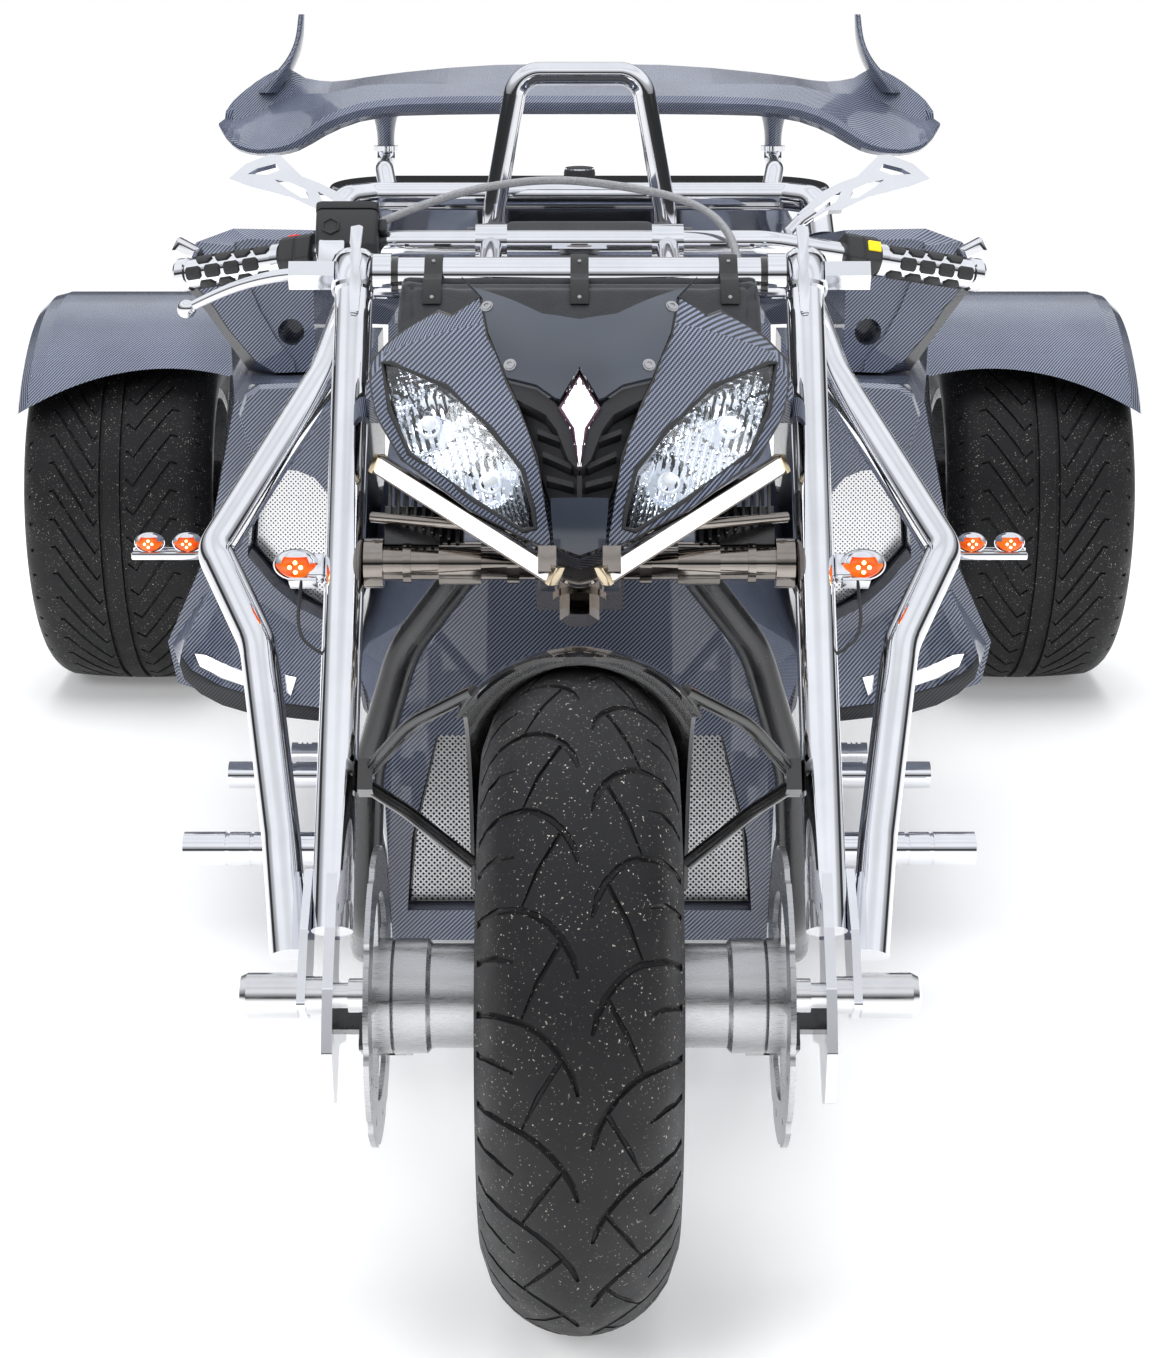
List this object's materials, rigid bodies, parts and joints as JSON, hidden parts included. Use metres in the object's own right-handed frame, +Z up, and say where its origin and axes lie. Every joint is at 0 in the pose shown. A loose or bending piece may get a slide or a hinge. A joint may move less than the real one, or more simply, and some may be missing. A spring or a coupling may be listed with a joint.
{
  "type": "motorized trike",
  "caption": "Three-wheeled motor vehicle with a raked chrome fork, carbon fairings, a seat for two, a tail wing and wide rear wheels.",
  "frame": {"origin": "middle of the vehicle's overall box, on the ground", "axes": "-Y is the way it faces, +X is on the right of someone who faces it, +Z is up"},
  "size_m": [1.944, 3.23, 1.1959],
  "materials": {
    "tyre": "worn rubber",
    "rim_metal": "machined",
    "chrome": "polished",
    "polished_metal": "polished",
    "black_metal": "gloss black",
    "black_rubber": "matt",
    "leather": "black",
    "carbon": "clear-coated carbon weave",
    "gloss_black": "high gloss",
    "clear_lens": "clear",
    "matte_black": "moulded",
    "white_lamp": "lit diffuser",
    "amber_lamp": "lit lens",
    "braided_hose": "braided sleeve",
    "mesh": "expanded mesh",
    "engine_metal": "cast",
    "red_lamp": "lens"
  },
  "bodies": {
    "chassis": {"frame": "black_metal", "body_tub": "carbon", "mesh_panels": "mesh", "pod_left": "carbon", "pod_right": "carbon", "shoulder_left": "carbon", "shoulder_right": "carbon", "driver_seat": "leather", "passenger_seat": "leather", "backrest_bar": "chrome", "grab_rail": "chrome", "tank_drum": "polished_metal", "wing": "carbon", "rear_fender_left": "carbon", "rear_fender_right": "carbon", "rear_axle": "black_metal", "engine": "engine_metal", "exhaust": "polished_metal", "tail_lamps": "red_lamp", "foot_pegs": "polished_metal", "side_lamps": "amber_lamp"},
    "fork": {"fork_legs": "chrome", "outer_tubes": "chrome", "lower_yoke": "chrome", "top_bar": "chrome", "front_axle": "polished_metal", "calipers": "black_metal", "handlebar": "chrome", "controls": "black_rubber", "mirrors": "polished_metal", "fork_bag": "leather", "fairing": "carbon", "screen": "gloss_black", "headlamps": "clear_lens", "grille": "matte_black", "lamp_strips": "white_lamp", "fork_lamps": "amber_lamp", "front_fender": "gloss_black", "brake_hose": "braided_hose"},
    "front_wheel": {"front_tyre": "tyre", "front_rim": "rim_metal"},
    "rear_wheel_left": {"rear_tyre_left": "tyre", "rear_rim_left": "rim_metal"},
    "rear_wheel_right": {"rear_tyre_right": "tyre", "rear_rim_right": "rim_metal"}
  },
  "joints": [
    {"name": "steering", "type": "hinge", "parent": "chassis", "child": "fork", "pos_m": [0, -0.96052, 0.74924], "axis": [0, 0.5736, 0.8192], "range_deg": [-30, 30]},
    {"name": "front_wheel_spin", "type": "hinge", "parent": "fork", "child": "front_wheel", "pos_m": [0, -1.304, 0.311], "axis": [1, 0, 0], "continuous": true},
    {"name": "rear_wheel_left_spin", "type": "hinge", "parent": "chassis", "child": "rear_wheel_left", "pos_m": [-0.802, 1.096, 0.33], "axis": [1, 0, 0], "continuous": true},
    {"name": "rear_wheel_right_spin", "type": "hinge", "parent": "chassis", "child": "rear_wheel_right", "pos_m": [0.802, 1.096, 0.33], "axis": [1, 0, 0], "continuous": true}
  ]
}
